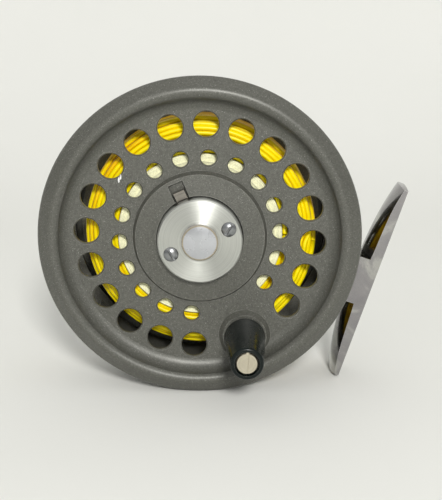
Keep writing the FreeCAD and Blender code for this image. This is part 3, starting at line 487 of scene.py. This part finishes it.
def tube_mesh(name, points, thickness, sides):
    """A tube that follows turns about the spindle; its tone is low where layers meet, for dirt and painted
    shade there.
    """
    verts, faces, tones = [], [], []
    for angle, radius, depth, tone in points:
        out = Vector((math.cos(angle), 0, math.sin(angle)))
        for side in range(sides):
            turn = 2 * math.pi * side / sides
            spot = out * (radius + thickness / 2 * math.cos(turn))
            verts.append(HUB + (spot + Vector((0, depth + thickness / 2 * math.sin(turn), 0))) * MM)
            # Sides facing the next layer darken: dirt and painted shade.
            tones.append(tone - GROOVE_GRIME_AND_SHADE * math.cos(turn) ** 4)
    last = (len(points) - 1) * sides
    for near in range(0, last, sides):
        faces += band(near, near + sides, sides)
    faces.append(tuple(range(sides)))
    faces.append(tuple(range(last, last + sides))[::-1])
    mesh = smooth_mesh(name, verts, faces)
    mesh.attributes.new("tone", "FLOAT", "POINT").data.foreach_set("value", tones)
    return mesh


def add_piece(name, mesh, material, body):
    """A visible piece that rides on a body."""
    piece = add_object(name, mesh)
    mesh.materials.append(material)
    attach(piece, body)
    return piece


def make_fly_line():
    mesh = tube_mesh("wound_line", winding(), LINE_DIAMETER, TUBE_SIDES)
    piece = add_piece("wound_line", mesh, line_coating(), "spool")
    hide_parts("fly_line")


# Backing, in mm

BACKING_FRONT = 2.85
BACKING_BACK = 19.0
BACKING_TURN = 0.46
BACKING_SUNK = (0.1, 0.45)
BACKING_RIPPLE = 0.05
ARBOR_RADIUS = 14.0
RIDGE_HEIGHT = 0.18
RIDGE_POINTS = 4
BACKING_STEPS = 120


def make_backing():
    """Packed turns of thin backing: the visible layers of each side and of the outside as ridges."""
    rng = random.Random(11)
    profile = [(ARBOR_RADIUS, BACKING_FRONT + 0.3)]
    turns = int((LINE_BACKING_RADIUS - ARBOR_RADIUS) / BACKING_TURN)
    rows = int((BACKING_BACK - BACKING_FRONT) / BACKING_TURN)

    def ridge(start, finish, out):
        for step in range(RIDGE_POINTS):
            part = step / RIDGE_POINTS
            lift = RIDGE_HEIGHT * math.sin(math.pi * part)
            profile.append((start[0] + (finish[0] - start[0]) * part + out[0] * lift,
                            start[1] + (finish[1] - start[1]) * part + out[1] * lift))

    for turn in range(turns):
        low = ARBOR_RADIUS + turn * BACKING_TURN
        sunk = rng.uniform(*BACKING_SUNK)
        ridge((low, BACKING_FRONT + sunk), (low + BACKING_TURN, BACKING_FRONT + sunk), (0, -1))
    for row in range(rows):
        low = BACKING_FRONT + 0.2 + row * BACKING_TURN
        top = LINE_BACKING_RADIUS - 0.25
        ridge((top, low), (top, low + BACKING_TURN), (1, 0))
    for turn in range(turns):
        high = LINE_BACKING_RADIUS - 0.2 - turn * BACKING_TURN
        sunk = rng.uniform(*BACKING_SUNK)
        ridge((high, BACKING_BACK - sunk), (high - BACKING_TURN, BACKING_BACK - sunk), (0, 1))
    profile.append((ARBOR_RADIUS, BACKING_BACK - 0.3))
    count = len(profile)
    verts, faces = [], []
    ripple = [smooth_wave(rng, (2, 5, 9)) for _ in profile]
    for step in range(BACKING_STEPS):
        angle = 2 * math.pi * step / BACKING_STEPS
        for index, (radius, depth) in enumerate(profile):
            sway = BACKING_RIPPLE * ripple[index // RIDGE_POINTS * RIDGE_POINTS](angle)
            reach = radius + sway
            spot = Vector((math.cos(angle) * reach, depth + sway, math.sin(angle) * reach))
            verts.append(HUB + spot * MM)
        faces += band(step * count, (step + 1) % BACKING_STEPS * count, count)
    mesh = smooth_mesh("wound_backing", verts, faces)
    piece = add_piece("wound_backing", mesh, backing_braid(), "spool")
    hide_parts("backing")


# Studio, in metres

SWEEP_NEAR = -1.2
SWEEP_WALL = 0.55
SWEEP_BEND = 0.35
SWEEP_BEND_STEPS = 12
SWEEP_HEIGHT = 1.6
SWEEP_HALF_WIDTH = 1.6
KEY_OFFSET = (0.18, -1.40, 0.74)  # from the hub
KEY_SIZE = 0.24
KEY_POWER = 21.0
KEY_TINT = (1.0, 0.99, 0.96)
SKY_STRENGTH = 0.62


def make_stage():
    """Pale floor that rises behind the reel in one sweep."""
    outline = [(SWEEP_NEAR, 0.0)]
    for step in range(SWEEP_BEND_STEPS + 1):
        turn = math.radians(step * 90 / SWEEP_BEND_STEPS)
        outline.append((SWEEP_WALL - SWEEP_BEND + SWEEP_BEND * math.sin(turn),
                        SWEEP_BEND - SWEEP_BEND * math.cos(turn)))
    outline.append((SWEEP_WALL, SWEEP_HEIGHT))
    verts = [(HUB.x + side, HUB.y + along, FLOOR + up)
             for along, up in outline for side in (-SWEEP_HALF_WIDTH, SWEEP_HALF_WIDTH)]
    faces = [(2 * index, 2 * index + 1, 2 * index + 3, 2 * index + 2) for index in range(len(outline) - 1)]
    mesh = smooth_mesh("sweep", verts, faces)
    sweep = add_object("sweep", mesh)
    material, tree, shader = new_material("pale_table", Roughness=0.75, Specular_IOR_Level=0.25)
    cloud = noise(tree, place_from(tree), 9, detail=4)
    tree.links.new(mix(tree, cloud, (0.77, 0.775, 0.745), (0.81, 0.81, 0.785)), shader.inputs["Base Color"])
    mesh.materials.append(material)


def make_world():
    """Grey sky that turns white from the horizon to 30 degrees above it; seen directly it is white."""
    world = bpy.data.worlds.new("studio")
    bpy.context.scene.world = world
    world.use_nodes = True
    tree = world.node_tree
    background = tree.nodes["Background"]
    split = add(tree, "SeparateXYZ", {0: add(tree, "TexCoord").outputs["Generated"]})
    sky = ramp(tree, split.outputs["Z"], (0.0, (0.34, 0.34, 0.33)), (0.5, (1.0, 1.0, 0.98)))
    seen = add(tree, "LightPath").outputs["Is Camera Ray"]
    tree.links.new(mix(tree, seen, sky, (1.62, 1.62, 1.58)), background.inputs["Color"])
    background.inputs["Strength"].default_value = SKY_STRENGTH


def make_light():
    """Soft square key light, turned to face the hub."""
    data = bpy.data.lights.new("key", "AREA")
    data.size = KEY_SIZE
    data.energy = KEY_POWER
    data.color = KEY_TINT
    light = add_object("key", data)
    offset = Vector(KEY_OFFSET)
    light.location = HUB + offset
    light.rotation_euler = (-offset).to_track_quat("-Z", "Y").to_euler()


bpy.context.scene.view_settings.view_transform = "Standard"
make_camera()
make_world()
make_light()
make_stage()
dress_cad_nodes()
make_fly_line()
make_backing()
